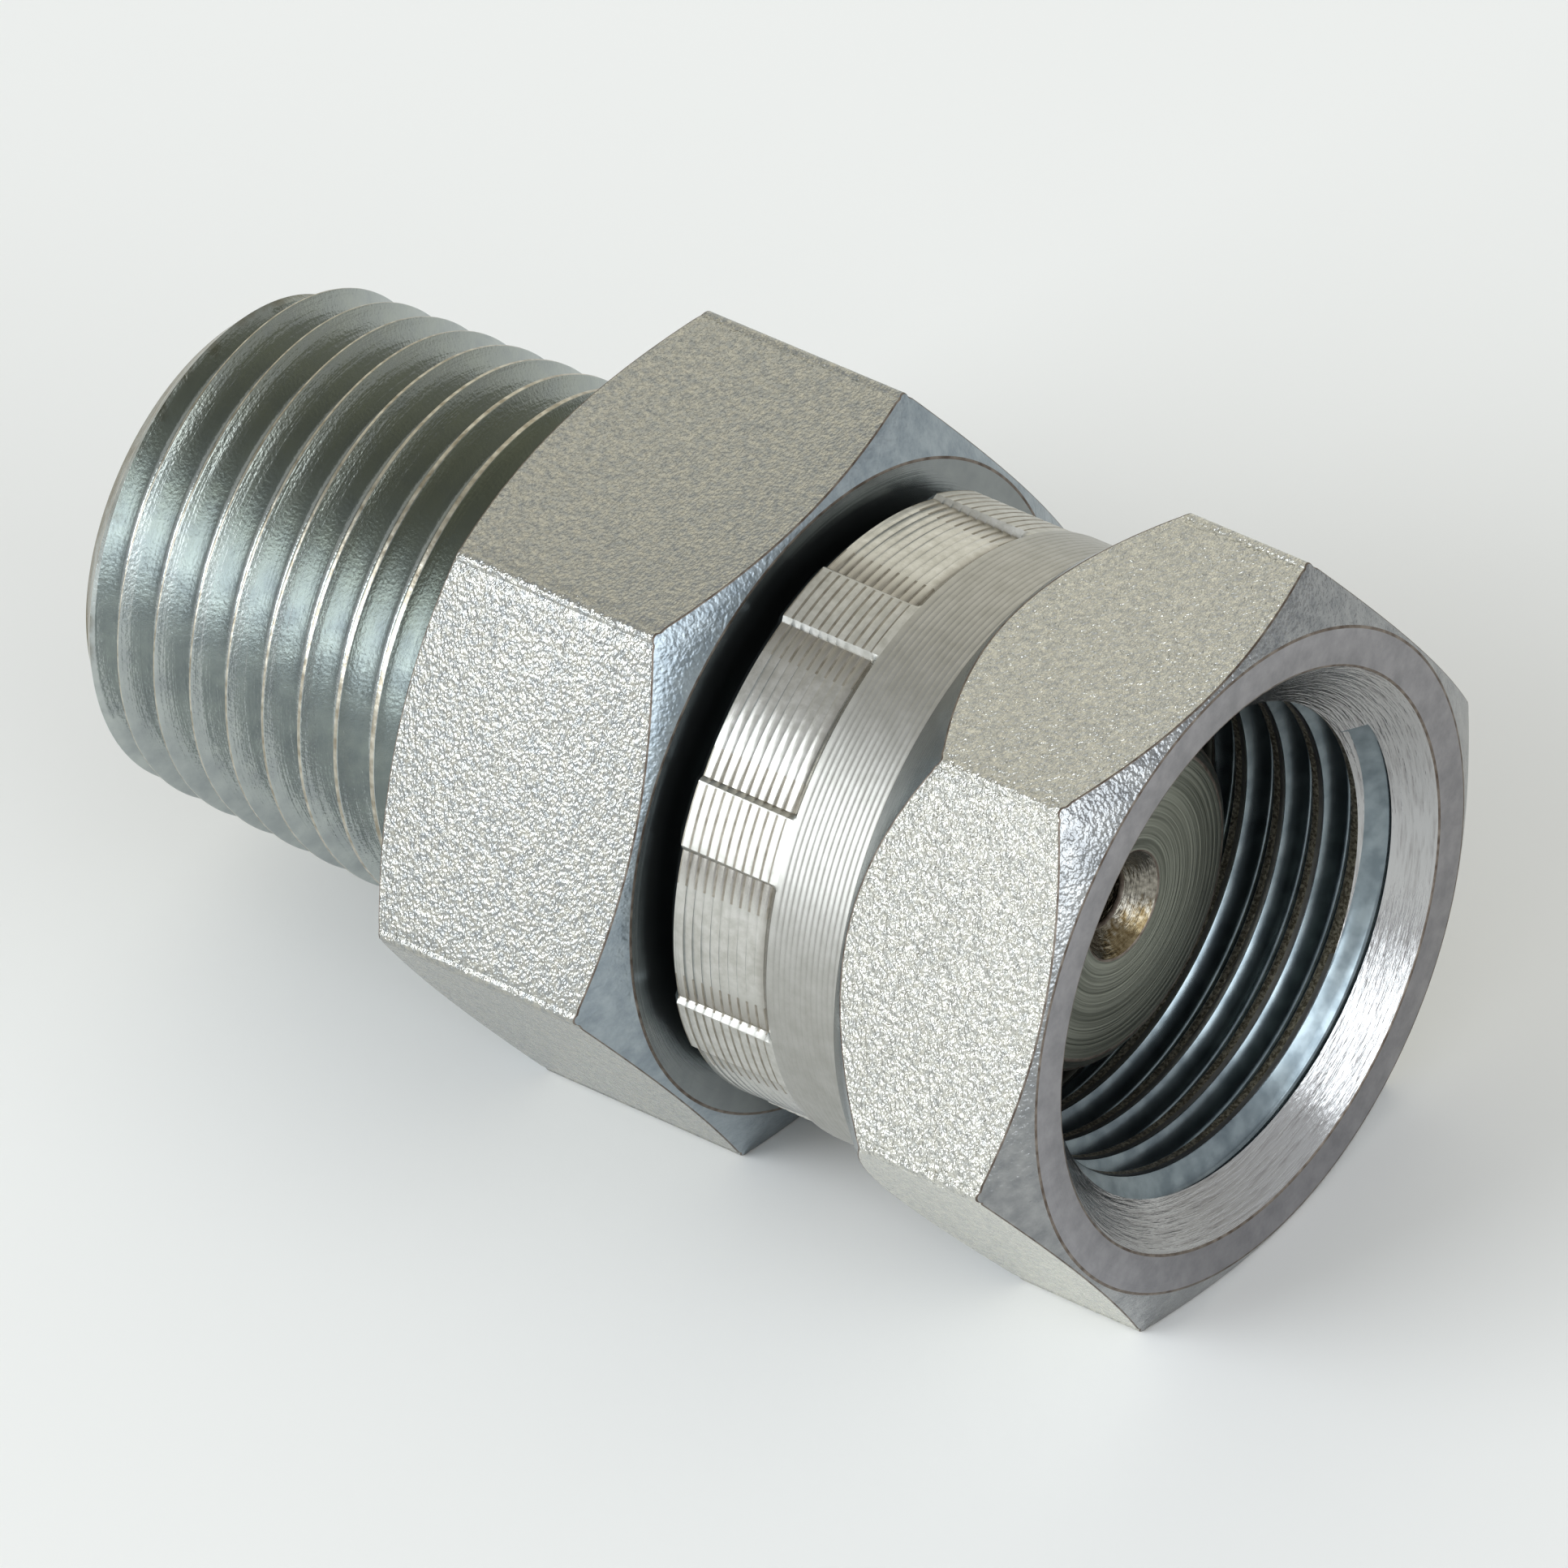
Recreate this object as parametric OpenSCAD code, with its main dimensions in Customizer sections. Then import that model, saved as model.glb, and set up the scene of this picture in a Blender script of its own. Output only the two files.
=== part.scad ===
// Swivel adapter for half-inch pipe: a turned body with a tapered male thread, and a crimped-on
// swivel nut with a straight female thread. X is the axis and points out of the nut's mouth,
// X = 0 is the end face of the seat nose, and Z points out of the top flats of both hexagons.

/* [Hexagons] */
// Width across the flats of both hexagons, for a 27 mm (1-1/16 in) spanner
across_flats = 27; // [26.6:0.1:28]
// Length of the body's hexagon, end face to end face
body_hex_length = 11.65; // [8:0.05:16]
// Slope of the body hexagon's end chamfers, measured from its end faces
body_chamfer_angle = 26; // [20:1:35]
// Diameter of the plain circle that the chamfers leave on the body hexagon's end faces
body_face_d = 26.4; // [25.2:0.1:26.5]
// Length of the nut's hexagon, from its rear shoulder to the front face
nut_hex_length = 9.55; // [8:0.05:11]
// Slope of the nut's front chamfer, measured from the front face
nut_front_chamfer_angle = 30; // [20:1:40]
// Diameter of the plain ring's outer edge on the nut's front face
nut_face_d = 26.6; // [25.5:0.1:26.6]
// Slope of the nut hexagon's rear chamfer, measured from the rear shoulder
nut_rear_chamfer_angle = 50; // [30:1:55]
// Diameter where the rear chamfer ends on the nut's rear shoulder
nut_shoulder_d = 26.5; // [25.5:0.1:26.6]

/* [Male pipe thread] */
// Length of the male pipe thread, from its small end to the hexagon
thread_length = 18.2; // [14:0.1:22]
// Diameter over the thread's crests at its small end
thread_small_d = 20.4; // [20:0.05:21]
// Length along the axis in which the diameter grows by 1
thread_taper_run = 16; // [14:1:20]
// Length of the lead-in chamfer at the thread's small end
thread_lead_in = 1.3; // [0.6:0.1:2]
// Distance from one crest to the next, 14 to the inch
thread_pitch = 1.814; // [1.4:0.002:2.4]
// Included angle of the thread's flanks
thread_angle = 60; // [55:1:65]
// Width of the flat on the crests
thread_crest_flat = 0.2; // [0.1:0.01:0.4]
// Width of the flat at the roots
thread_root_flat = 0.24; // [0.1:0.01:0.4]
// Distance from the small end to the first crest, measured at the top
thread_first_crest = 0.5; // [0:0.05:1.4]

/* [Waterway] */
// Diameter of the main bore, drilled from the male end
waterway_d = 12.5; // [10:0.1:13]
// Depth of the main bore's full diameter
waterway_depth = 31.5; // [26:0.5:34]
// Point angle of the drill that leaves the bottom of the main bore
drill_point_angle = 118; // [110:1:130]
// Size of the chamfer at the mouth of the main bore
waterway_chamfer = 0.8; // [0.4:0.1:1.2]
// Diameter of the restrictor hole through the nose
orifice_d = 2.4; // [1.2:0.1:3]
// Diameter of the restrictor hole's countersink on the nose face
countersink_d = 4.4; // [3.6:0.1:6]
// Included angle of the countersink
countersink_angle = 90; // [82:1:120]

/* [Seat nose, flange and neck] */
// Diameter of the nose at its end face, before the edge is broken
nose_d = 13; // [12:0.1:14]
// Included angle of the sealing cone behind the nose face
seat_cone_angle = 60; // [50:1:66]
// Size of the broken edge round the nose face
nose_edge = 0.3; // [0.1:0.05:0.5]
// Distance from the nose face back to the flange's front face
nose_length = 4.2; // [3.4:0.1:4.6]
// Diameter of the flange that the nut pulls on
flange_d = 20.6; // [20:0.1:21]
// Length of the flange's full diameter
flange_width = 3.1; // [2.2:0.1:3.6]
// Slope of the flange's rear ramp and of the collar's ramp that bears on it, from the axis
ramp_angle = 45; // [40:1:55]
// Diameter of the neck between the flange and the body's hexagon
neck_d = 16.8; // [16:0.1:17.4]
// Radius of the fillet where the neck meets the body's hexagon
neck_fillet = 0.5; // [0.2:0.1:0.8]

/* [Swivel nut] */
// Length of the nut
nut_length = 18.3; // [17.6:0.1:20]
// Distance that the nut's front face stands past the nose face
nut_reach = 6.05; // [5.2:0.05:7]
// Diameter of the turned barrel behind the nut's hexagon
barrel_d = 24.6; // [24.2:0.1:25]
// Diameter of the mouth on the front face
mouth_d = 23.5; // [22:0.1:24]
// Included angle of the mouth's cone
mouth_angle = 90; // [80:1:100]
// Diameter inside the crests of the straight pipe thread
thread_minor_d = 19.1; // [18.9:0.05:19.4]

/* [Crimped collar] */
// Number of crimping dies, each leaving one pressed field with a rib beside it
crimp_count = 8; // [6:1:10]
// Length of the pressed fields, from the nut's rear face
crimp_length = 4.9; // [3.5:0.1:5.5]
// Depth of the pressed fields at the nut's rear face
crimp_rear_depth = 0.18; // [0.1:0.01:0.3]
// Depth of the pressed fields at their front step
crimp_front_depth = 0.32; // [0.2:0.01:0.5]
// Width of a rib's top
rib_width = 2.6; // [1.8:0.1:3.4]
// Width of the slope on each side of a rib, where the die's corner has pressed it
rib_slope = 0.28; // [0.15:0.01:0.5]
// Angle of the first rib's middle, from the top towards the front side
rib_start_angle = 8.6; // [0:0.2:44]
// Size of the broken edges at the nut's rear face
collar_edge = 0.3; // [0.1:0.05:0.6]

/* [Fits] */
// Gap all round between the neck and the collar's bore
running_clearance = 0.08; // [0.03:0.01:0.1]
// Play along the axis between the flange's ramp and the collar's ramp
ramp_play = 0.25; // [0.15:0.05:0.5]
// Gap along the axis between the flange's front face and the nut's inner shoulder
shoulder_play = 0.35; // [0.2:0.05:0.6]
// Gap all round between the flange and the chamber in the nut
chamber_clearance = 0.3; // [0.15:0.05:0.45]
// Gap between the body's hexagon and the nut's rear face
rear_gap = 0.88; // [0.4:0.02:1.4]

/* [Hidden] */
round_fn = 144;
fillet_steps = 6;
steps_per_turn = 36;
overrun = 1;

// Radii from the diameters above
corner_r = across_flats / sqrt(3);
body_face_r = body_face_d / 2;
nut_face_r = nut_face_d / 2;
nut_shoulder_r = nut_shoulder_d / 2;
waterway_r = waterway_d / 2;
orifice_r = orifice_d / 2;
countersink_r = countersink_d / 2;
nose_r = nose_d / 2;
flange_r = flange_d / 2;
neck_r = neck_d / 2;
barrel_r = barrel_d / 2;
mouth_r = mouth_d / 2;
thread_minor_r = thread_minor_d / 2;
collar_bore_r = neck_r + running_clearance;
chamber_r = flange_r + chamber_clearance;

// Depth of the male thread, which its flats and its flanks' angle give
thread_depth = (thread_pitch - thread_crest_flat - thread_root_flat) / 2 / tan(thread_angle / 2);

// Places along the axis, from the nose face back to the male end
flange_front = -nose_length;
flange_rear = flange_front - flange_width;
ramp_foot = flange_rear - (flange_r - neck_r) / tan(ramp_angle);
nut_front = nut_reach;
nut_rear = nut_front - nut_length;
nut_shoulder = nut_front - nut_hex_length;
hex_front = nut_rear - rear_gap;
hex_rear = hex_front - body_hex_length;
male_end = hex_rear - thread_length;
waterway_bottom = male_end + waterway_depth;

// Places along the axis inside the nut
collar_ramp_foot = ramp_foot - ramp_play;
collar_ramp_top = collar_ramp_foot + (chamber_r - collar_bore_r) / tan(ramp_angle);
chamber_front = flange_front + shoulder_play;
thread_start = chamber_front + (chamber_r - thread_minor_r);
mouth_bottom = nut_front - (mouth_r - thread_minor_r) / tan(mouth_angle / 2);
crimp_step = nut_rear + crimp_length;

// Turns children made along Z so that they lie along X, with their Y upwards
module along_x() {
    rotate([90, 0, 90]) children();
}

// A turned shape from an outline of [radius, place along the axis] points
module turned(outline) {
    along_x() rotate_extrude($fn = round_fn) polygon(outline);
}

// A hexagonal bar between two places, cut back at both ends by chamfers. Each chamfer leaves a plain
// circle on the end face, and its slope is measured from that face.
module chamfered_hexagon(rear, front, rear_r, rear_angle, front_r, front_angle) {
    edge_r = corner_r + overrun;
    intersection() {
        along_x() translate([0, 0, rear]) cylinder(r = corner_r, h = front - rear, $fn = 6);
        turned([
            [0, rear],
            [rear_r, rear],
            [edge_r, rear + (edge_r - rear_r) * tan(rear_angle)],
            [edge_r, front - (edge_r - front_r) * tan(front_angle)],
            [front_r, front],
            [0, front]
        ]);
    }
}

// Points of the fillet in the corner where the neck meets the hexagon's end face
function fillet_points() = [
    for (i = [0:fillet_steps])
        let (a = 90 * i / fillet_steps)
        [neck_r + neck_fillet * (1 - sin(a)), hex_front + neck_fillet * (1 - cos(a))]
];

// Radius over the male thread's crests at a place along the axis
function crest_r(x) = (thread_small_d + (x - male_end) / thread_taper_run) / 2;

// Corners of the male thread's profile at one step along its right-handed helix: both edges of the
// crest, then both edges of the root that follows it. The helix starts two turns before its first crest.
function thread_corners(step) =
    let (
        turns = step / steps_per_turn,
        crest = male_end + thread_first_crest + thread_pitch * (turns - 2),
        root = crest + thread_pitch / 2
    )
    [
        for (corner = [
            [0, crest - thread_crest_flat / 2], [0, crest + thread_crest_flat / 2],
            [thread_depth, root - thread_root_flat / 2], [thread_depth, root + thread_root_flat / 2]
        ])
            let (r = crest_r(corner[1]) - corner[0])
            [-r * sin(360 * turns), r * cos(360 * turns), corner[1]]
    ];

// A bar with the helical thread on it, longer than the real one at both ends. Strips run along the
// helix, the last one of each turn meets the first of the next, and fans round the axis close the ends.
module threaded_bar() {
    turn = 4 * steps_per_turn;
    steps = ceil(((thread_length + overrun) / thread_pitch + 2.5) * steps_per_turn);
    last = 4 * steps;
    rear_middle = last + 4;
    front_middle = last + 5;
    along_x() polyhedron(
        points = concat(
            [for (step = [0:steps]) each thread_corners(step)],
            [for (step = [0, steps]) [0, 0, thread_corners(step)[2].z]]
        ),
        faces = concat(
            [for (i = [0:4:last - 4], side = [0:2]) [i + side, i + side + 1, i + side + 5, i + side + 4]],
            [for (i = [0:4:last - turn - 4]) [i + 3, i + turn, i + turn + 4, i + 7]],
            [for (i = [0:4:turn - 4]) [rear_middle, i, i + 4]],
            [for (edge = [[turn, 3], [3, 2], [2, 1], [1, 0]]) [rear_middle, edge[0], edge[1]]],
            [for (i = [last - turn:4:last - 4]) [front_middle, i + 7, i + 3]],
            [for (i = [last:last + 2]) [front_middle, i, i + 1]],
            [[front_middle, last - turn + 3, last]]
        )
    );
}

// The male thread, cut to its length, with the lead-in chamfer at its small end
module male_thread() {
    lead_in_r = thread_small_d / 2 - thread_lead_in;
    intersection() {
        threaded_bar();
        turned([
            [0, male_end],
            [lead_in_r, male_end],
            [across_flats / 2, male_end + across_flats / 2 - lead_in_r],
            [across_flats / 2, hex_rear + overrun],
            [0, hex_rear + overrun]
        ]);
    }
}

// Outline of what is turned on the body in front of its hexagon: neck, flange and nose
function front_outline() = concat(
    [
        [0, hex_front - overrun],
        [neck_r + neck_fillet, hex_front - overrun]
    ],
    fillet_points(),
    [
        [neck_r, ramp_foot],
        [flange_r, flange_rear],
        [flange_r, flange_front],
        [nose_r + nose_length * tan(seat_cone_angle / 2), flange_front],
        [nose_r + nose_edge * tan(seat_cone_angle / 2), -nose_edge],
        [nose_r - nose_edge, 0],
        [0, 0]
    ]
);

// The main bore with its chamfer and drill point, and the restrictor hole with its countersink
module waterway() {
    point_length = waterway_r / tan(drill_point_angle / 2);
    countersink_depth = (countersink_r - orifice_r) / tan(countersink_angle / 2);
    turned([
        [0, male_end - overrun],
        [waterway_r + waterway_chamfer + overrun, male_end - overrun],
        [waterway_r, male_end + waterway_chamfer],
        [waterway_r, waterway_bottom],
        [0, waterway_bottom + point_length]
    ]);
    turned([
        [0, waterway_bottom],
        [orifice_r, waterway_bottom],
        [orifice_r, -countersink_depth],
        [countersink_r + overrun * tan(countersink_angle / 2), overrun],
        [0, overrun]
    ]);
}

// The body is turned from hexagonal bar: thread, hexagon, neck, flange and seat nose in one piece
module adapter_body() {
    color("#9c9d96") difference() {
        union() {
            male_thread();
            turned(front_outline());
            chamfered_hexagon(
                hex_rear, hex_front,
                body_face_r, body_chamfer_angle, body_face_r, body_chamfer_angle
            );
        }
        waterway();
    }
}

// Outside of the collar and barrel, with the crimped ring pressed in all round
module barrel_with_pressed_ring() {
    turned([
        [0, nut_rear],
        [barrel_r - crimp_rear_depth - collar_edge, nut_rear],
        [barrel_r - crimp_rear_depth, nut_rear + collar_edge],
        [barrel_r - crimp_front_depth, crimp_step - crimp_front_depth],
        [barrel_r, crimp_step],
        [barrel_r, nut_shoulder + overrun],
        [0, nut_shoulder + overrun]
    ]);
}

// One of the ribs that the gaps between the crimping dies have left, at its full height
module crimp_rib(angle) {
    root_r = barrel_r - 2 * crimp_front_depth;
    half_top = rib_width / 2;
    half_root = half_top + rib_slope * 2;
    intersection() {
        turned([
            [root_r - overrun, nut_rear + collar_edge],
            [barrel_r - collar_edge, nut_rear],
            [barrel_r, nut_rear + collar_edge],
            [barrel_r, crimp_step + overrun],
            [root_r - overrun, crimp_step + overrun]
        ]);
        along_x() rotate([0, 0, 90 + angle]) translate([0, 0, nut_rear])
            linear_extrude(height = crimp_length)
                polygon([
                    [root_r, -half_root],
                    [barrel_r + overrun, -half_top + rib_slope * overrun / crimp_front_depth],
                    [barrel_r + overrun, half_top - rib_slope * overrun / crimp_front_depth],
                    [root_r, half_root]
                ]);
    }
}

// The space inside the nut: collar bore and ramp, flange chamber, straight thread and mouth cone
module nut_bore() {
    turned([
        [0, nut_rear - overrun],
        [collar_bore_r + collar_edge + overrun, nut_rear - overrun],
        [collar_bore_r, nut_rear + collar_edge],
        [collar_bore_r, collar_ramp_foot],
        [chamber_r, collar_ramp_top],
        [chamber_r, chamber_front],
        [thread_minor_r, thread_start],
        [thread_minor_r, mouth_bottom],
        [mouth_r + overrun * tan(mouth_angle / 2), nut_front + overrun],
        [0, nut_front + overrun]
    ]);
}

// The nut is turned and bored, slipped over the flange, and its collar crimped in behind it
module swivel_nut() {
    color("#b5b1a4") difference() {
        union() {
            barrel_with_pressed_ring();
            for (i = [0:crimp_count - 1]) crimp_rib(rib_start_angle + 360 * i / crimp_count);
            chamfered_hexagon(
                nut_shoulder, nut_front,
                nut_shoulder_r, nut_rear_chamfer_angle, nut_face_r, nut_front_chamfer_angle
            );
        }
        nut_bore();
    }
}

adapter_body();
swivel_nut();
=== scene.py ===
# Swivel adapter for half-inch pipe, dressed for the picture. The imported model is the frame: X is the
# common axis and points out of the nut's mouth, X = 0 is the end face of the seat nose, and Z points
# out of the top flats of both hexagons. Sizes are in millimetres and become metres in the meshes.

import math

import bmesh
import bpy
import numpy as np
from mathutils import Matrix, Vector


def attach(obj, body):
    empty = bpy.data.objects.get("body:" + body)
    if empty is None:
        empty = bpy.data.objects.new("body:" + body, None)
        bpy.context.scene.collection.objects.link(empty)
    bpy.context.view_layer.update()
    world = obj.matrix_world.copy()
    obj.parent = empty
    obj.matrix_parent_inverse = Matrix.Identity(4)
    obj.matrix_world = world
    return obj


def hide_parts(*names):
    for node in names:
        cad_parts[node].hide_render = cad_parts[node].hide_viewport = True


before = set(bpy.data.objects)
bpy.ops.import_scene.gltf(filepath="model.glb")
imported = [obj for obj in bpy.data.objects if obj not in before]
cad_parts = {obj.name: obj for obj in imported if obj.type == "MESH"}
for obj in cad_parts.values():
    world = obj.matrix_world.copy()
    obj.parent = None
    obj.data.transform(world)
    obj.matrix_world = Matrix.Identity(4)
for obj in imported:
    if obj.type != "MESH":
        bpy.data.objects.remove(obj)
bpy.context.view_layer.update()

# The adapter body. One piece of free-cutting steel, turned from drawn hexagonal bar and then zinc
# plated: a tapered pipe thread, the hexagon for the spanner, a neck, the flange that holds the nut,
# and the seat nose with its small restrictor hole. The main waterway is drilled from the thread's end.

MM = 0.001

across_flats = 27.0
hex_corner_round = 0.3
male_end, hex_rear, hex_front = -42.98, -24.78, -13.13
body_face_r, body_chamfer = 13.2, 26.0
neck_r, neck_fillet = 8.4, 0.5
ramp_foot, flange_rear, flange_front, flange_r = -9.2, -7.3, -4.2, 10.3
nose_r, nose_edge, seat_half_angle = 6.5, 0.3, 30.0
waterway_r, waterway_bottom, waterway_chamfer, drill_half_angle = 6.25, -11.48, 0.8, 59.0
orifice_r, countersink_r = 1.2, 2.2

# Half-inch pipe thread, 14 to the inch, with flanks at 60 degrees to each other. The crest cut is how
# much the bar's surface takes off the sharp crest, at the end and at the hexagon.
pitch = 1.814
flank_slope = math.sqrt(3)
male_small_r, male_taper, male_lead_in = 10.2, 1 / 32, 1.3
male_crest_at, male_root_round, male_edge_round = 1.05, 0.2, 0.025
male_crest_cut = (0.07, 0.26)

# How far a broken edge goes to each side of its corner.
flat_edge, face_edge, rim_edge, hidden_edge, flange_edge = 0.05, 0.06, 0.08, 0.1, 0.15


def linear(hex_colour):
    """An sRGB hex colour as the linear colour that a shader takes."""
    parts = [int(hex_colour[i : i + 2], 16) / 255 for i in (1, 3, 5)]
    return [p / 12.92 if p <= 0.04045 else ((p + 0.055) / 1.055) ** 2.4 for p in parts] + [1.0]


def connect(tree, node, inputs):
    """Gives a node its inputs. Each is a value, an output socket, or a node for its first output."""
    for name, value in inputs.items():
        if isinstance(value, bpy.types.Node):
            value = value.outputs[0]
        if isinstance(value, bpy.types.NodeSocket):
            tree.links.new(value, node.inputs[name])
        else:
            node.inputs[name].default_value = value


def add(tree, kind, inputs, **settings):
    """Adds a node with its settings and links."""
    made = tree.nodes.new(kind)
    for name, value in settings.items():
        setattr(made, name, value)
    connect(tree, made, inputs)
    return made


def plated_steel(name):
    """A new metal, its node tree, its shader, and the place on the piece in millimetres. A pattern's
    scale on it is 1 over the pattern's real size."""
    metal = bpy.data.materials.new(name)
    metal.use_nodes = True
    tree = metal.node_tree
    shader = tree.nodes["Principled BSDF"]
    connect(tree, shader, {"Metallic": 1.0})
    metres = add(tree, "ShaderNodeTexCoord", {}).outputs["Object"]
    place = add(tree, "ShaderNodeVectorMath", {0: metres, "Scale": 1 / MM}, operation="SCALE")
    return metal, tree, shader, place


def mottled(tree, pattern, dark, light, start=0.35, end=0.65):
    """A colour that runs from dark to light as a pattern's value goes from start to end."""
    share = add(tree, "ShaderNodeMapRange", {"Value": pattern, "From Min": start, "From Max": end})
    colour = add(
        tree, "ShaderNodeMix", {0: share, 6: linear(dark), 7: linear(light)}, data_type="RGBA"
    )
    return colour.outputs[2]


def turning_marks(tree, place, spacing, wander=0.6, along_share=1.0):
    """Lines that run round the axis, spacing millimetres apart, as a tool leaves them. They follow
    the radius and, for along_share of it, the place along the axis, and wander on their way round."""
    off_axis = add(tree, "ShaderNodeVectorMath", {0: place, 1: (0, 1, 1)}, operation="MULTIPLY")
    radius = add(tree, "ShaderNodeVectorMath", {0: off_axis}, operation="LENGTH").outputs["Value"]
    heading = add(tree, "ShaderNodeVectorMath", {0: off_axis}, operation="NORMALIZE")
    drift = add(tree, "ShaderNodeVectorMath", {0: heading, "Scale": wander}, operation="SCALE")
    along = add(tree, "ShaderNodeSeparateXYZ", {0: place}).outputs["X"]
    across = add(tree, "ShaderNodeMath", {0: along, 1: along_share, 2: radius}, operation="MULTIPLY_ADD")
    lines = add(tree, "ShaderNodeMath", {0: across, 1: 1 / spacing}, operation="MULTIPLY")
    lines = add(tree, "ShaderNodeCombineXYZ", {"X": lines})
    lines = add(tree, "ShaderNodeVectorMath", {0: lines, 1: drift}, operation="ADD")
    return add(
        tree, "ShaderNodeTexNoise", {"Vector": lines, "Scale": 1.0, "Detail": 3.0, "Roughness": 0.6}
    )


def drawn_bar_skin(name, dark, light, grain, depth, roughest):
    """Bright zinc over the drawn skin of the bar, which was pickled rough before it was plated. Its
    grains are a little longer round the bar than along it. They glitter near a lamp's reflection, and
    are matt and warm elsewhere. Real grains of about 0.1 mm wouldn't show, so they are drawn wider."""
    metal, tree, shader, place = plated_steel(name)
    squeezed = add(tree, "ShaderNodeVectorMath", {0: place, 1: (1.35, 0.9, 0.9)}, operation="MULTIPLY")
    grit = add(tree, "ShaderNodeTexNoise", {"Vector": squeezed, "Scale": 1 / grain, "Detail": 1.5})
    bump = add(tree, "ShaderNodeBump", {"Height": grit, "Distance": depth * MM})
    speck = add(tree, "ShaderNodeTexNoise", {"Vector": place, "Scale": 1 / 0.3, "Roughness": 0.6})
    polish = add(
        tree,
        "ShaderNodeMapRange",
        {"Value": speck, "From Min": 0.35, "From Max": 0.6, "To Min": roughest, "To Max": 0.6 * roughest},
    )
    cloud = add(
        tree, "ShaderNodeTexNoise", {"Vector": place, "Scale": 1 / 0.28, "Detail": 4.0, "Roughness": 0.6}
    )
    colour = mottled(tree, cloud, dark, light)
    connect(tree, shader, {"Base Color": colour, "Roughness": polish, "Normal": bump})
    return metal


bar_skin = drawn_bar_skin("zinc_on_drawn_bar", "#9FA2A2", "#BDBBB1", 0.16, 0.095, 0.34)

# Bright zinc over the cut thread: glossy and faintly blue, drawn into fine streaks along the groove by
# the tool. Its upper side is darkened with painted shade in an olive tint, and the very end is soiled
# olive brown.
cut_thread, tree, shader, place = plated_steel("zinc_on_cut_thread")
marks = turning_marks(tree, place, 0.2, 0.7, 0.12)
bump = add(tree, "ShaderNodeBump", {"Height": marks, "Distance": 0.028 * MM})
grit = add(tree, "ShaderNodeTexNoise", {"Vector": place, "Scale": 1 / 0.14, "Detail": 1.5})
bump = add(tree, "ShaderNodeBump", {"Height": grit, "Normal": bump, "Distance": 0.018 * MM})
cloud = add(
    tree, "ShaderNodeTexNoise", {"Vector": place, "Scale": 1 / 1.1, "Detail": 6.0, "Roughness": 0.6}
)
spot = add(tree, "ShaderNodeSeparateXYZ", {0: place})
upward, along = spot.outputs["Z"], spot.outputs["X"]
upward = add(tree, "ShaderNodeMath", {0: cloud, 1: 3.0, 2: upward}, operation="MULTIPLY_ADD")
# Painted shade: the upper side of the thread is mixed towards a dark olive, raggedly, by height.
dried = add(
    tree, "ShaderNodeMapRange", {"Value": upward, "From Min": 7.5, "From Max": 12.0, "To Max": 0.65}
)
along = add(tree, "ShaderNodeMath", {0: cloud, 1: 2.0, 2: along}, operation="MULTIPLY_ADD")
clean = add(
    tree, "ShaderNodeMapRange", {"Value": along, "From Min": male_end + 1.2, "From Max": male_end + 2.0}
)
zinc = mottled(tree, cloud, "#A6ACAC", "#BAC0BD")
film = add(tree, "ShaderNodeMix", {0: dried, 6: zinc, 7: linear("#787A68")}, data_type="RGBA")
soil = add(
    tree, "ShaderNodeMix", {0: clean, 6: linear("#746C52"), 7: film.outputs[2]}, data_type="RGBA"
)
connect(tree, shader, {"Base Color": soil.outputs[2], "Roughness": 0.26, "Normal": bump})

# The thread's crests and other sharp edges, where the zinc is rubbed thin and has yellowed.
rubbed_crest, tree, shader, place = plated_steel("rubbed_zinc_on_crests")
cloud = add(tree, "ShaderNodeTexNoise", {"Vector": place, "Scale": 1 / 0.4, "Detail": 5.0})
bump = add(tree, "ShaderNodeBump", {"Height": cloud, "Distance": 0.04 * MM})
colour = mottled(tree, cloud, "#958D7C", "#CBC6B8")
connect(tree, shader, {"Base Color": colour, "Roughness": 0.33, "Normal": bump})


def turned_zinc(name, dark, light, roughness, grain, depth):
    """Bright zinc on a face or chamfer left by the turning tool: smooth and grey, with faint marks
    round the axis, drawn 0.16 mm apart where the real ones are finer. The grains, in millimetres, are
    what the pickling left under it."""
    metal, tree, shader, place = plated_steel(name)
    marks = turning_marks(tree, place, 0.16)
    bump = add(tree, "ShaderNodeBump", {"Height": marks, "Distance": 0.009 * MM})
    grit = add(tree, "ShaderNodeTexNoise", {"Vector": place, "Scale": 1 / grain, "Detail": 1.5})
    bump = add(tree, "ShaderNodeBump", {"Height": grit, "Normal": bump, "Distance": depth * MM})
    cloud = add(
        tree, "ShaderNodeTexNoise", {"Vector": place, "Scale": 1 / 0.9, "Detail": 6.0, "Roughness": 0.6}
    )
    colour = mottled(tree, cloud, dark, light)
    connect(tree, shader, {"Base Color": colour, "Roughness": roughness, "Normal": bump})
    return metal


turned_face = turned_zinc("zinc_on_turned_faces", "#8E9394", "#989D9D", 0.27, 0.9, 0.008)

# The hexagon's chamfers: the same zinc, bluish, and pitted where the pickling bit deeper.
pitted_chamfer = turned_zinc("bluish_zinc_on_chamfers", "#8B959C", "#A2ABB0", 0.33, 0.22, 0.035)

# The broken edges between faces: a thin, dull, brownish line.
dull_edge, tree, shader, place = plated_steel("dull_broken_edges")
cloud = add(tree, "ShaderNodeTexNoise", {"Vector": place, "Scale": 1 / 0.5, "Detail": 5.0})
colour = mottled(tree, cloud, "#5E534B", "#8A8178")
connect(tree, shader, {"Base Color": colour, "Roughness": 0.5})

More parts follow.
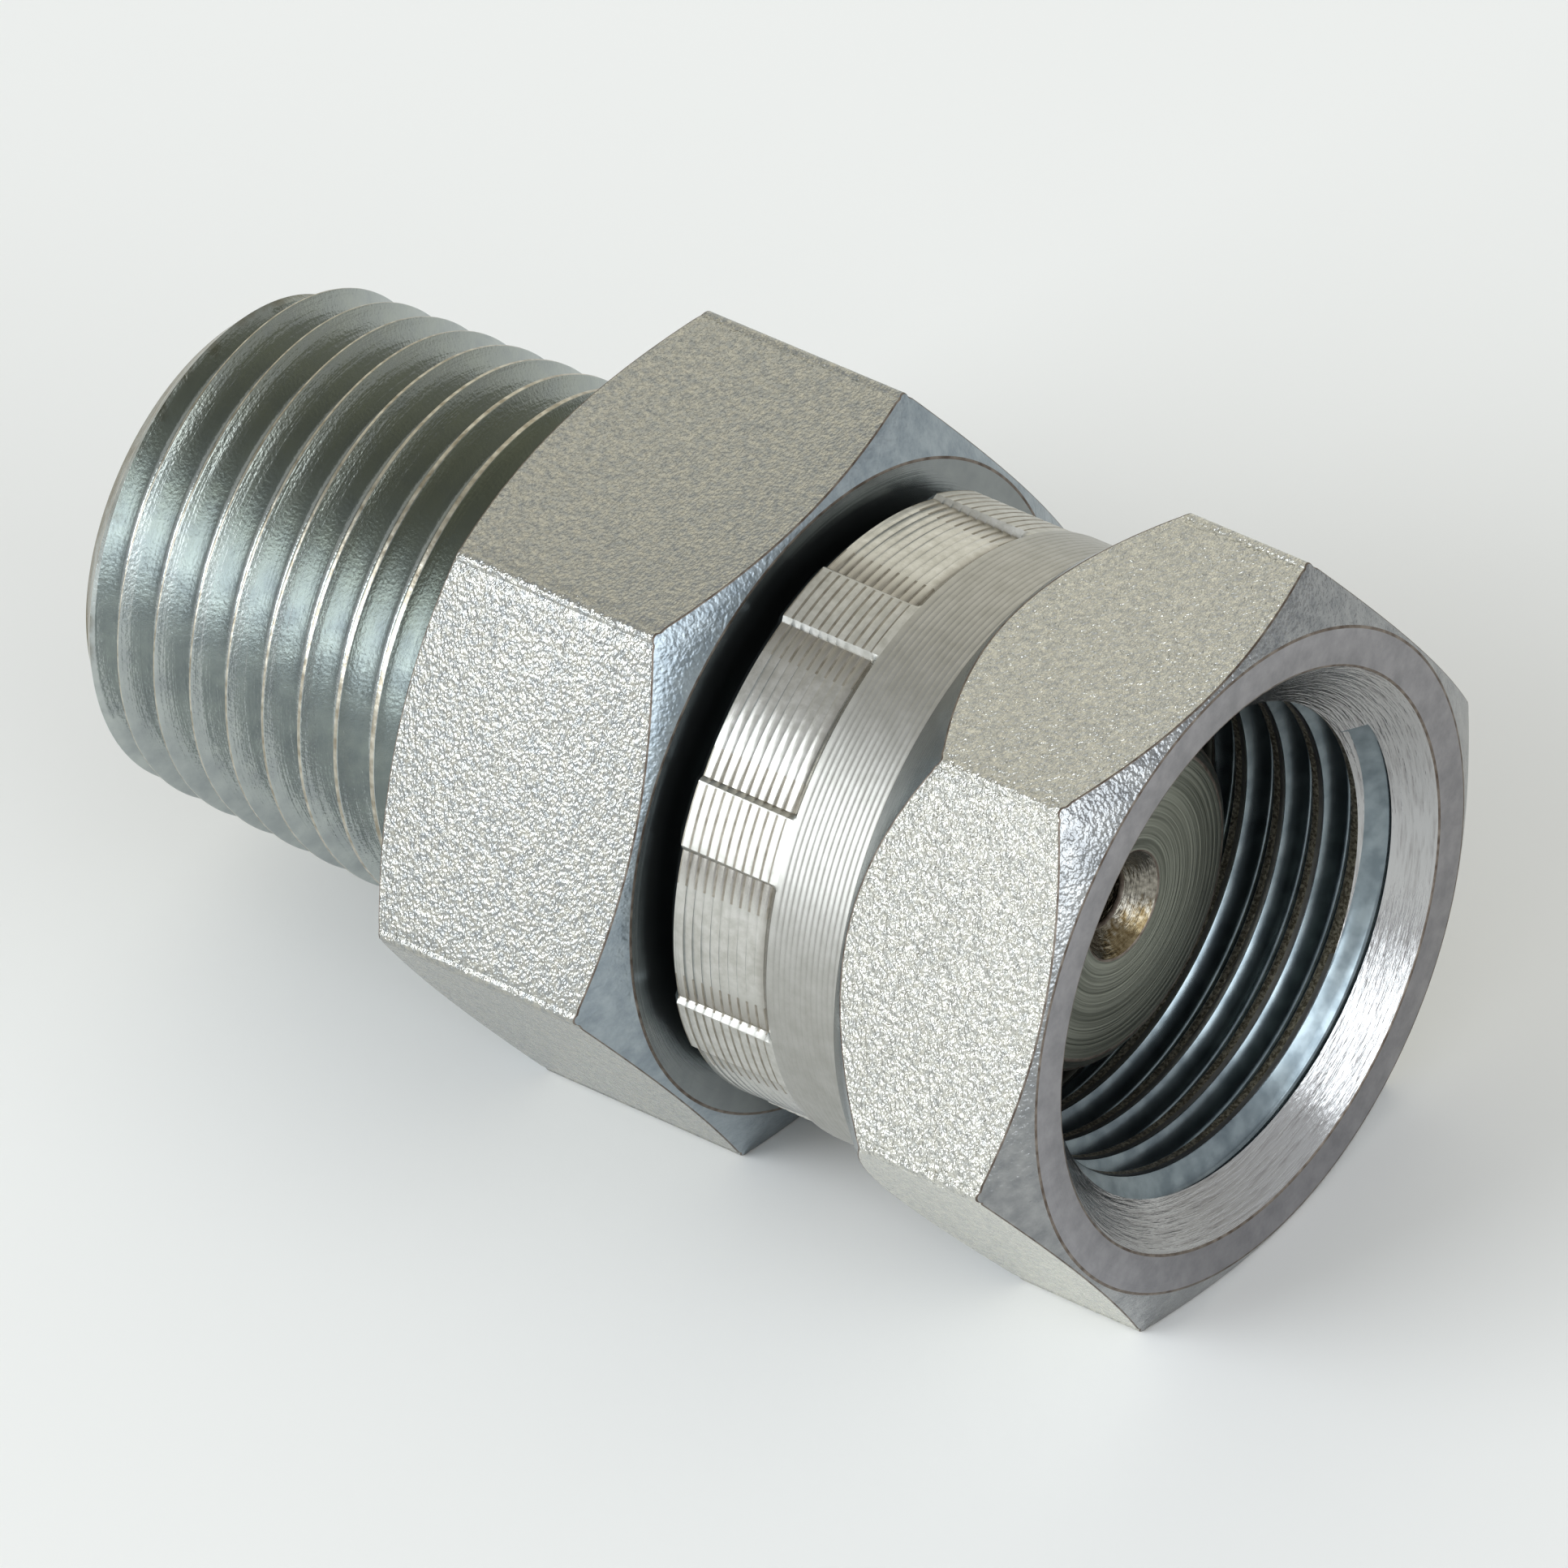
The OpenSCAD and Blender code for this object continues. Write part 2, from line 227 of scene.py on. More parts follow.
# The nose's end face and sealing cone: faced in rings 0.12 mm apart, a darker olive grey.
faced_seat, tree, shader, place = plated_steel("zinc_on_faced_seat")
marks = turning_marks(tree, place, 0.12, 0.35)
bump = add(tree, "ShaderNodeBump", {"Height": marks, "Distance": 0.03 * MM})
colour = mottled(tree, marks, "#6A6D63", "#A0A397")
connect(tree, shader, {"Base Color": colour, "Roughness": 0.3, "Normal": bump})

# The drilled waterway and hole: rougher, and darkened with painted shade for the inside of the bore.
drilled_bore, tree, shader, place = plated_steel("zinc_with_painted_shade_in_bore")
marks = turning_marks(tree, place, 0.25)
bump = add(tree, "ShaderNodeBump", {"Height": marks, "Strength": 0.8, "Distance": 0.02 * MM})
colour = mottled(tree, marks, "#6A6B66", "#868780")
connect(tree, shader, {"Base Color": colour, "Roughness": 0.42, "Normal": bump})

# The restrictor hole's countersink: scratched round by the drill, so it glitters in short streaks. The
# passivation has run down to its lowest part and dried there as a golden stain.
golden_hole, tree, shader, place = plated_steel("stained_countersink")
marks = turning_marks(tree, place, 0.22, 1.6)
bump = add(tree, "ShaderNodeBump", {"Height": marks, "Distance": 0.06 * MM})
cloud = add(tree, "ShaderNodeTexNoise", {"Vector": place, "Scale": 1 / 0.2, "Detail": 1.5})
height = add(tree, "ShaderNodeSeparateXYZ", {0: place}).outputs["Z"]
ragged = add(tree, "ShaderNodeMath", {0: cloud, 1: 1.5, 2: height}, operation="MULTIPLY_ADD")
stain = add(tree, "ShaderNodeMapRange", {"Value": ragged, "From Min": -0.3, "From Max": -0.9})
bare = mottled(tree, cloud, "#6C685F", "#A19C91", 0.3, 0.7)
gold = mottled(tree, cloud, "#5C4D33", "#8A7D62", 0.3, 0.7)
tint = add(tree, "ShaderNodeMix", {0: stain, 6: bare, 7: gold}, data_type="RGBA")
connect(tree, shader, {"Base Color": tint.outputs[2], "Roughness": 0.22, "Normal": bump})

BODY_FINISHES = [
    bar_skin,
    cut_thread,
    rubbed_crest,
    turned_face,
    dull_edge,
    faced_seat,
    drilled_bore,
    golden_hole,
    pitted_chamfer,
]
SKIN, THREAD, CREST, FACE, EDGE, SEAT, BORE, GOLD, CHAMFER = range(9)


def around(extra):
    """Angles of the columns, in degrees from the top towards the near side: one a degree, and extra
    ones where the shape needs them."""
    steps = list(np.arange(0.0, 360.0, 1.0)) + [angle % 360 for angle in extra]
    return np.unique(np.round(steps, 4))


def hexagon_r(angle):
    """Radius of the hexagonal bar at each angle, with its drawn corners slightly rounded."""
    half = across_flats / 2
    from_flat = np.abs((angle + 30) % 60 - 30)
    flat = half / np.cos(np.radians(from_flat))
    centre = (half - hex_corner_round) / math.cos(math.radians(30))
    turn = np.radians(30 - from_flat)
    reach = hex_corner_round**2 - (centre * np.sin(turn)) ** 2
    rounded = centre * np.cos(turn) + np.sqrt(np.maximum(reach, 0))
    return np.where(reach > 0, np.minimum(flat, rounded), flat)


def tan(degrees):
    return math.tan(math.radians(degrees))


# Extra columns of points beside the bar's six corners, so that they are smoothly rounded.
hex_corner_r = across_flats / 2 / math.cos(math.radians(30))
corner_spread = math.degrees(hex_corner_round * tan(30) / hex_corner_r)
corner_columns = [
    corner + side * corner_spread * share
    for corner in range(30, 360, 60)
    for side in (-1, 1)
    for share in (1.02, 0.75, 0.5, 0.25)
]

# A broken edge never takes more than this share of the band beside it, and no band counts as shorter
# than the shortest one.
longest_share, shortest_band = 0.45, 1e-9


def softened(profile, columns):
    """Breaks the corners of a profile. It holds (x, r, finish, edge) for each ring: its place and
    radius, the finish of the band that follows it, and how far its broken edge goes each way."""
    rings = [
        np.stack([np.broadcast_to(np.asarray(v, float), columns.shape) for v in (x, r)])
        for x, r, _, _ in profile
    ]
    rows = []
    for i, (_, _, finish, edge) in enumerate(profile):
        here = rings[i]
        if not edge:
            rows.append((here, finish))
            continue
        back, ahead = rings[i - 1] - here, rings[(i + 1) % len(rings)] - here
        first, last = [
            here + band * np.minimum(edge / np.maximum(np.hypot(*band), shortest_band), longest_share)
            for band in (back, ahead)
        ]
        rows += [(first, EDGE), ((first + last) / 4 + here / 2, EDGE), (last, finish)]
    return rows


def rise(beyond, edge_round):
    """How far a flank has moved on at a distance beyond the crest's edge, which is slightly rounded."""
    turned = (np.clip(beyond, -edge_round, edge_round) + edge_round) ** 2 / (4 * edge_round)
    return np.where(beyond > edge_round, beyond, turned)


def root_half(root_round):
    """Half the width of a thread's rounded root, up to where it meets the flanks."""
    return root_round * math.cos(math.radians(30))


def root_hollow(from_root, root_round):
    """How far the rounded root stands off the point where its flanks would meet."""
    return 2 * root_round - np.sqrt(np.maximum(root_round**2 - from_root**2, 0))


def from_crest(x, crest_at, columns):
    """How far each place lies from the nearest crest, along the axis."""
    half = pitch / 2
    return np.abs((x - crest_at - pitch * columns / 360 + half) % pitch - half)


def thread_rows(columns, start, end, crest_at, half_crest, split, edge_round, wall, root_round, finishes):
    """Rows along a right-hand helix from start to end. wall(x, away) is the radius at a place that
    lies `away` from the nearest crest. Rows are held at both ends, so the outer ones are rings. An end
    may differ from column to column. The finishes are those of the crest's two parts, which meet at
    `split` from its middle, and of the flanks."""
    half = pitch / 2
    tangent = root_half(root_round)
    first_part, second_part, flanks = finishes
    bands = [flanks] * 6 + [first_part] * 3 + [second_part] + [flanks] * 8
    first_turn = math.floor((np.min(start) - crest_at) / pitch) - 2
    last_turn = math.ceil((np.max(end) - crest_at) / pitch) + 2
    rows = []
    for turn in range(first_turn, last_turn):
        middle = crest_at + pitch * (turn + columns / 360)
        edge = half_crest(np.clip(middle, start, end))
        straight = half - tangent - edge - edge_round
        offsets = [-half + tangent * s for s in (0, 0.33, 0.66)]
        offsets += [-half + tangent + straight * s for s in (0, 0.34, 0.67)]
        offsets += [-edge + edge_round * s for s in (-1, 0, 1)]
        offsets += [split(middle, edge - edge_round)]
        offsets += [edge + edge_round * s for s in (-1, 0, 1)]
        offsets += [edge + edge_round + straight * s for s in (0.33, 0.66, 1)]
        offsets += [half - tangent * s for s in (0.66, 0.33)]
        for offset, finish in zip(offsets, bands):
            x = np.clip(middle + offset, start, end)
            radius = wall(x, from_crest(x, crest_at, columns))
            rows.append((np.stack([x, radius]), finish))
    return rows, len(bands)


# Points closer than the weld are one, an edge shorter than the sliver goes, and an edge is drawn sharp
# where its faces turn by more than the sharp angle.
weld, sliver, sharp_angle = 0.002, 0.0005, 24.0


def sleeve(name, columns, parts, finishes):
    """One closed mesh from rings round the axis. Each part is a list of rows and the number of rows
    in a helix's turn, or 0 for plain rings. The last ring joins the first one."""
    count = len(columns)
    rows = [row for part, _ in parts for row in part]
    steps = []
    for part, step in parts:
        steps += [(step, len(steps) + len(part) - 1)] * len(part)
    place = np.array([ring for ring, _ in rows])
    turn = np.radians(columns)
    points = [place[:, 0], -place[:, 1] * np.sin(turn), place[:, 1] * np.cos(turn)]
    points = np.stack(points, axis=2).reshape(-1, 3) * MM
    faces, slots = [], []
    for i, (_, finish) in enumerate(rows):
        after = (i + 1) % len(rows)
        step, last = steps[i]
        for j in range(count):
            k = (j + 1) % count
            a, b = i, after
            # At the seam, a helix goes on in the row that lies one turn further.
            if step and k == 0 and i < last:
                a, b = min(i + step, last), min(after + step, last)
            faces.append((i * count + j, after * count + j, b * count + k, a * count + k))
        slots += np.broadcast_to(finish, count).tolist()
    mesh = bpy.data.meshes.new(name)
    mesh.from_pydata(points.tolist(), [], faces)
    for finish in finishes:
        mesh.materials.append(finish)
    mesh.polygons.foreach_set("material_index", slots)
    worked = bmesh.new()
    worked.from_mesh(mesh)
    bmesh.ops.remove_doubles(worked, verts=worked.verts, dist=weld * MM)
    bmesh.ops.dissolve_degenerate(worked, edges=worked.edges, dist=sliver * MM)
    bmesh.ops.recalc_face_normals(worked, faces=worked.faces)
    worked.to_mesh(mesh)
    worked.free()
    mesh.shade_smooth()
    mesh.set_sharp_from_angle(angle=math.radians(sharp_angle))
    piece = bpy.data.objects.new(name, mesh)
    bpy.context.scene.collection.objects.link(piece)
    return piece


def male_crest_cut_at(x):
    """How much of the sharp crest the bar's taper leaves off: the crests get wider to the hexagon."""
    share = (x - male_end) / (hex_rear - male_end)
    return male_crest_cut[0] + (male_crest_cut[1] - male_crest_cut[0]) * share**2


def male_wall(x, away):
    """Radius of the male thread, with its 45 degree lead-in at the end."""
    blank = male_small_r + (x - male_end) * male_taper
    sharp = blank + male_crest_cut_at(x)
    from_root = np.maximum(pitch / 2 - away, 0)
    root = sharp - pitch / 2 * flank_slope + root_hollow(from_root, male_root_round)
    beyond = away - male_crest_cut_at(x) / flank_slope
    flank = blank - rise(beyond, male_edge_round) * flank_slope
    lead_in = male_small_r - male_lead_in + (x - male_end)
    return np.minimum(np.where(from_root < root_half(male_root_round), root, flank), lead_in)


body_columns = around(corner_columns)
bar_r = hexagon_r(body_columns)
chamfer_run = (bar_r - body_face_r) * tan(body_chamfer)
fillet = [
    (hex_front + neck_fillet * (1 - math.cos(a)), neck_r + neck_fillet * (1 - math.sin(a)), FACE, 0)
    for a in np.linspace(0, math.pi / 2, 6)
]
cone = tan(seat_half_angle)
male_thread, male_step = thread_rows(
    body_columns,
    male_end,
    hex_rear,
    male_crest_at,
    lambda x: male_crest_cut_at(x) / flank_slope,
    lambda middle, edge: 0 * edge,
    male_edge_round,
    male_wall,
    male_root_round,
    (CREST, CREST, THREAD),
)

# The turned part goes on from the thread: out over the hexagon, along the neck, flange and nose, in at
# the hole, and back through the waterway to the thread's end, where a narrow band closes it. A ring
# on the rear face keeps the face flat beside the thread.
rear_face_band, closing_band = 0.5, 0.02
body_turned = softened(
    [
        (hex_rear, body_face_r - rear_face_band, FACE, 0),
        (hex_rear, body_face_r, CHAMFER, face_edge),
        (hex_rear + chamfer_run, bar_r, SKIN, flat_edge),
        (hex_front - chamfer_run, bar_r, CHAMFER, flat_edge),
        (hex_front, body_face_r, FACE, face_edge),
        *fillet,
        (ramp_foot, neck_r, FACE, hidden_edge),
        (flange_rear, flange_r, FACE, hidden_edge),
        (flange_front, flange_r, FACE, flange_edge),
        (flange_front, nose_r - flange_front * cone, SEAT, 0),
        (-nose_edge, nose_r + nose_edge * cone, SEAT, rim_edge),
        (0, nose_r - nose_edge, SEAT, rim_edge),
        (0, countersink_r, GOLD, flat_edge),
        (-(countersink_r - orifice_r), orifice_r, GOLD, hidden_edge),
        (waterway_bottom + (waterway_r - orifice_r) / tan(drill_half_angle), orifice_r, BORE, 0),
        (waterway_bottom, waterway_r, BORE, 0),
        (male_end + waterway_chamfer, waterway_r, FACE, rim_edge),
        (male_end, waterway_r + waterway_chamfer, FACE, rim_edge),
        (male_end, male_small_r - male_lead_in - closing_band, FACE, 0),
    ],
    body_columns,
)
body_parts = [(male_thread, male_step), (body_turned, 0)]
body_piece = sleeve("turned_body", body_columns, body_parts, BODY_FINISHES)
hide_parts("adapter_body")
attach(body_piece, "body")

# The swivel nut. It is turned and bored from the same hexagonal bar and threaded inside, slipped over
# the flange, and then eight dies press the rear end of its barrel in behind the flange. Each die leaves
# a shallow sunk field, and the gaps between the dies leave narrow ribs at the old height.

nut_rear, nut_shoulder, nut_front = -12.25, -3.5, 6.05
nut_face_r, nut_front_chamfer = 13.3, 30.0
nut_shoulder_r, nut_rear_chamfer = 13.25, 50.0
barrel_r, mouth_r = 12.3, 11.75
collar_bore_r, chamber_r, ramp_bottom, chamber_front = 8.48, 10.6, -9.45, -3.85
collar_edge = 0.3
female_crest_r, female_half_crest, female_crest_at = 9.55, 0.27, 0.66
female_root_round, female_edge_round = 0.187, 0.04
thread_start, mouth_bottom = -2.8, 3.85

# The fields: how deep they are sunk, the soft step where they end, and the ribs between them. The dies
# have pressed the tool's grooves in them partly flat, least of all at the fields' ends, and those on the
# ribs are worn down about as much.
field_end, field_rear_depth, field_front_depth, step_run = -7.35, 0.18, 0.32, 0.45
rib_count, rib_start, rib_half_width, rib_slope = 8, 8.6, 1.3, 0.2
field_mark_spacing, field_mark_depth, field_end_marks = 0.41, 0.034, 1.5
field_flattening, rib_flattening = 0.42, 0.4
barrel_mark_spacing, barrel_mark_depth = 0.26, 0.017

# Bright zinc over the barrel: warm silver, with fine marks besides the grooves that the mesh has.
turned_barrel, tree, shader, place = plated_steel("zinc_on_turned_barrel")
marks = turning_marks(tree, place, 0.1)
bump = add(tree, "ShaderNodeBump", {"Height": marks, "Strength": 0.6, "Distance": 0.006 * MM})
cloud = add(
    tree, "ShaderNodeTexNoise", {"Vector": place, "Scale": 1 / 0.8, "Detail": 7.0, "Roughness": 0.65}
)
colour = mottled(tree, cloud, "#A8A7A1", "#B5B4AF")
connect(tree, shader, {"Base Color": colour, "Roughness": 0.42, "Normal": bump})

# The bottoms of the tool's grooves on the collar, where dull soil stays.
soiled_groove, tree, shader, place = plated_steel("soil_in_tool_grooves")
cloud = add(
    tree, "ShaderNodeTexNoise", {"Vector": place, "Scale": 1 / 0.7, "Detail": 6.0, "Roughness": 0.65}
)
colour = mottled(tree, cloud, "#847E72", "#ABA69B")
connect(tree, shader, {"Base Color": colour, "Roughness": 0.5})

# The collar. Each die has burnished its field, and brown painted shade darkens the corners at the ribs'
# feet and the front of each field, at the step. `turn` goes from 0 in the middle of a rib to 1 between
# two ribs.
pressed_collar, tree, shader, place = plated_steel("zinc_pressed_by_dies")
marks = turning_marks(tree, place, 0.1)
bump = add(tree, "ShaderNodeBump", {"Height": marks, "Distance": 0.006 * MM})
cloud = add(
    tree, "ShaderNodeTexNoise", {"Vector": place, "Scale": 1 / 0.5, "Detail": 6.0, "Roughness": 0.65}
)
spot = add(tree, "ShaderNodeSeparateXYZ", {0: place})
half_turn = math.pi / rib_count
down = add(tree, "ShaderNodeMath", {0: spot.outputs["Y"], 1: -1.0}, operation="MULTIPLY")
turn = add(tree, "ShaderNodeMath", {0: down, 1: spot.outputs["Z"]}, operation="ARCTAN2")
turn = add(tree, "ShaderNodeMath", {0: turn, 1: math.radians(rib_start)}, operation="SUBTRACT")
turn = add(tree, "ShaderNodeMath", {0: turn, 1: half_turn}, operation="PINGPONG")
turn = add(tree, "ShaderNodeMath", {0: turn, 1: half_turn}, operation="DIVIDE")
rib_top = rib_half_width / barrel_r / half_turn
rib_foot = (rib_half_width + rib_slope) / barrel_r / half_turn
beside_rib = add(
    tree, "ShaderNodeMapRange", {"Value": turn, "From Min": rib_foot - 0.01, "From Max": rib_foot}
)
# Masks for the painted shade: the field's corner at each rib's foot, and its front end at the step.
ragged = add(tree, "ShaderNodeMath", {0: cloud, 1: -0.5, 2: turn}, operation="MULTIPLY_ADD")
corner = add(tree, "ShaderNodeMapRange", {"Value": ragged, "From Min": 0.36, "From Max": 0.1})
front = add(
    tree,
    "ShaderNodeMapRange",
    {"Value": spot.outputs["X"], "From Min": field_end - 0.8, "From Max": field_end - 0.35},
)
soil = add(tree, "ShaderNodeMath", {0: corner, 1: front}, operation="MAXIMUM")
soil = add(tree, "ShaderNodeMath", {0: soil, 1: beside_rib}, operation="MULTIPLY")
soil = add(tree, "ShaderNodeMath", {0: soil, 1: 0.45}, operation="MULTIPLY")
zinc = mottled(tree, cloud, "#BAB9B2", "#D0CFCA")
# Painted shade: the brown colour mixed in where the masks say.
colour = add(tree, "ShaderNodeMix", {0: soil, 6: zinc, 7: linear("#645848")}, data_type="RGBA")
polish = add(
    tree,
    "ShaderNodeMapRange",
    {"Value": turn, "From Min": rib_top, "From Max": rib_foot, "To Min": 0.48, "To Max": 0.24},
)
connect(tree, shader, {"Base Color": colour.outputs[2], "Roughness": polish, "Normal": bump})

# The mouth's cone, cut by a coarser tool that chattered: streaks round the axis, half mirror bright.
streaked_cone, tree, shader, place = plated_steel("zinc_on_streaked_cone")
marks = turning_marks(tree, place, 0.2, 6.0)
bump = add(tree, "ShaderNodeBump", {"Height": marks, "Distance": 0.06 * MM})
colour = mottled(tree, marks, "#A19F9F", "#BBBBBB", 0.3, 0.5)
connect(tree, shader, {"Base Color": colour, "Roughness": 0.15, "Normal": bump})

# The inner crests are the bore's own torn surface: dark, gritty and brownish.
torn_crest, tree, shader, place = plated_steel("torn_steel_on_inner_crests")
grit = add(
    tree, "ShaderNodeTexNoise", {"Vector": place, "Scale": 1 / 0.14, "Detail": 3.0, "Roughness": 0.7}
)
bump = add(tree, "ShaderNodeBump", {"Height": grit, "Distance": 0.035 * MM})
colour = mottled(tree, grit, "#736B5F", "#C9C1B2", 0.42, 0.62)
connect(tree, shader, {"Base Color": colour, "Roughness": 0.42, "Normal": bump})

# The inner thread's flanks, smooth and glossy, darkened with painted shade for the nut's dark inside.
inner_flank, tree, shader, place = plated_steel("glossy_zinc_with_painted_shade_on_inner_flanks")
ripple = add(tree, "ShaderNodeTexNoise", {"Vector": place, "Scale": 1 / 0.8, "Detail": 3.0})
bump = add(tree, "ShaderNodeBump", {"Height": ripple, "Strength": 0.5, "Distance": 0.01 * MM})
colour = mottled(tree, ripple, "#717C82", "#8C979C")
connect(tree, shader, {"Base Color": colour, "Roughness": 0.25, "Normal": bump})

# The nut's own bar is paler and rougher than the body's, and glitters in coarser grains. Its front face
# is a smooth lilac grey, and its front chamfers are pitted, so that they sparkle near a lamp.
nut_bar_skin = drawn_bar_skin("zinc_on_drawn_nut_bar", "#C2C3BF", "#DEDCD1", 0.19, 0.2, 0.38)
nut_face = turned_zinc("zinc_on_nut_faces", "#8C8B8E", "#9F9DA0", 0.3, 0.3, 0.012)
nut_chamfer = turned_zinc("zinc_on_nut_chamfers", "#86888A", "#A2A3A3", 0.27, 0.2, 0.07)

NUT_FINISHES = [
    nut_bar_skin,
    *BODY_FINISHES[1:],
    turned_barrel,
    streaked_cone,
    torn_crest,
    pressed_collar,
    inner_flank,
    nut_face,
    nut_chamfer,
    soiled_groove,
]
BARREL, MOUTH, TORN, COLLAR, FLANK, NUT_FACE, NUT_CHAMFER, GROOVE = range(9, 17)


def grooved(start, end, spacing, depth, radius, ridge, groove):
    """Rings of a turned surface from start to end: low rounded ridges with narrow grooves between."""
    count = max(1, round(abs(end - start) / spacing))
    section = ((0, 1, groove), (0.14, 0.2, ridge), (0.5, 0, ridge), (0.86, 0.2, groove))
    rows = []
    for i in range(count):
        for share, sunk_by, finish in section:
            x = start + (end - start) * (i + share) / count
            rows.append((x, radius(x) - depth * sunk_by, finish, 0))
    return rows


def female_wall(x, away):
    """Radius of the nut's bore: the thread, cut off by the mouth's cone and by the chamber's edge."""
    apex = female_crest_r + (pitch / 2 - female_half_crest) * flank_slope
    from_root = np.maximum(pitch / 2 - away, 0)
    root = apex - root_hollow(from_root, female_root_round)
    flank = female_crest_r + rise(away - female_half_crest, female_edge_round) * flank_slope
    thread = np.where(from_root < root_half(female_root_round), root, flank)
    mouth = female_crest_r + (x - mouth_bottom)
    chamber = female_crest_r + (thread_start - x)
    return np.maximum(np.maximum(thread, mouth), chamber)


rib_middles = [rib_start + 360 / rib_count * i for i in range(rib_count)]
rib_half = math.degrees(rib_half_width / barrel_r)
rib_side = math.degrees(rib_slope / barrel_r)
rib_columns = [
    middle + side * (rib_half + rib_side * share)
    for middle in rib_middles
    for side in (-1, 1)
    for share in (-0.3, 0, 1, 1.3)
]
nut_columns = around(corner_columns + rib_columns)
bar_r = hexagon_r(nut_columns)
off_rib = np.min([np.abs((nut_columns - m + 180) % 360 - 180) for m in rib_middles], axis=0)


def eased(share):
    """A soft step from 0 to 1."""
    share = np.clip(share, 0, 1)
    return share * share * (3 - 2 * share)


# How far each column is sunk, and how flat its grooves are. Soil stays in the grooves on the ribs and
# at the fields' ends, but not on the ribs' sides.
sunk = np.clip((off_rib - rib_half) / rib_side, 0, 1)
flattened = eased((off_rib - rib_half - rib_side) / math.degrees(field_end_marks / barrel_r))
flattened = field_flattening * flattened
flattened = np.where(off_rib < rib_half + rib_side / 2, rib_flattening, flattened)
soiled = (flattened < (field_flattening + rib_flattening) / 2) & ((sunk == 0) | (sunk == 1))

# The inner thread ends where its groove has run out into the mouth's cone, which differs from column
# to column. It is found by going up the cone in small steps.
seek_step, rounding_error = 0.002, 1e-6
female_reach = (pitch / 2 - female_half_crest) * flank_slope - female_root_round
thread_end = np.full(nut_columns.shape, mouth_bottom)
for x in np.arange(mouth_bottom, mouth_bottom + female_reach, seek_step):
    away = from_crest(x, female_crest_at, nut_columns)
    in_groove = female_wall(x, away) > female_crest_r + x - mouth_bottom + rounding_error
    thread_end = np.where(in_groove, x, thread_end)

# The torn part of an inner crest goes a little past its middle, and the tool has smoothed the rest.
torn_share = 0.1


def crest_split(middle, edge):
    """Where the torn part of an inner crest ends: past its middle, or where the mouth's cone cuts it."""
    at_cone = np.clip(mouth_bottom - middle, -edge, edge)
    return np.where(middle + edge > mouth_bottom, at_cone, torn_share * edge)


female_thread, female_step = thread_rows(
    nut_columns,
    thread_start - female_reach,
    thread_end,
    female_crest_at,
    lambda x: female_half_crest + 0 * x,
    crest_split,
    female_edge_round,
    female_wall,
    female_root_round,
    (TORN, NUT_FACE, FLANK),
)

# Where a crest is cut by the mouth's cone, its band belongs to the cone.
for i, (here, finish) in enumerate(female_thread[:-1]):
    ahead = female_thread[i + 1][0]
    if finish != FLANK:
        past_cone = [r - female_crest_r - (x - mouth_bottom) for x, r in (here, ahead)]
        on_cone = (past_cone[0] < rounding_error) & (past_cone[1] < rounding_error)
        female_thread[i] = (here, np.where(on_cone, MOUTH, finish))
female_thread[-1] = (female_thread[-1][0], MOUTH)


def collar_r(x):
    """Radius of the collar: the barrel's on the ribs, and sunk more and more towards the front, up to
    the soft step where the dies end."""
    share = (x - nut_rear) / (field_end - nut_rear)
    depth = field_rear_depth + (field_front_depth - field_rear_depth) * share
    return barrel_r - sunk * depth * eased((field_end - x) / step_run)


step_rings = [
    (field_end - step_run * share, collar_r(field_end - step_run * share), COLLAR, 0)
    for share in np.linspace(0, 1, 8)[1:-1]
]
barrel_rings = grooved(
    nut_shoulder,
    field_end,
    barrel_mark_spacing,
    barrel_mark_depth,
    lambda x: barrel_r + 0 * sunk,
    BARREL,
    BARREL,
)
collar_rings = grooved(
    field_end - step_run,
    nut_rear + collar_edge,
    field_mark_spacing,
    field_mark_depth * (1 - flattened),
    collar_r,
    COLLAR,
    np.where(soiled, GROOVE, COLLAR),
)

# The turned part goes on from the thread: out of the mouth, over the hexagon, back along the barrel
# and collar, and in through the collar's bore to the chamber. A ring on the cone keeps its rim straight.
mouth_band = 0.4
nut_turned = softened(
    [
        (nut_front - mouth_band, mouth_r - mouth_band, MOUTH, 0),
        (nut_front, mouth_r, NUT_FACE, face_edge),
        (nut_front, nut_face_r, NUT_CHAMFER, face_edge),
        (nut_front - (bar_r - nut_face_r) * tan(nut_front_chamfer), bar_r, SKIN, flat_edge),
        (nut_shoulder + (bar_r - nut_shoulder_r) * tan(nut_rear_chamfer), bar_r, FACE, flat_edge),
        (nut_shoulder, nut_shoulder_r, FACE, rim_edge),
        *barrel_rings,
        *step_rings,
        *collar_rings,
        (nut_rear + collar_edge, collar_r(nut_rear + collar_edge), FACE, 0),
        (nut_rear, collar_r(nut_rear) - collar_edge, FACE, 0),
        (nut_rear, collar_bore_r + collar_edge, FACE, 0),
        (nut_rear + collar_edge, collar_bore_r, BORE, 0),
        (ramp_bottom, collar_bore_r, BORE, 0),
        (ramp_bottom + chamber_r - collar_bore_r, chamber_r, BORE, 0),
        (chamber_front, chamber_r, BORE, 0),
    ],
    nut_columns,
)
nut_parts = [(female_thread, female_step), (nut_turned, 0)]
nut_piece = sleeve("crimped_nut", nut_columns, nut_parts, NUT_FINISHES)
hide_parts("swivel_nut")
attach(nut_piece, "nut")

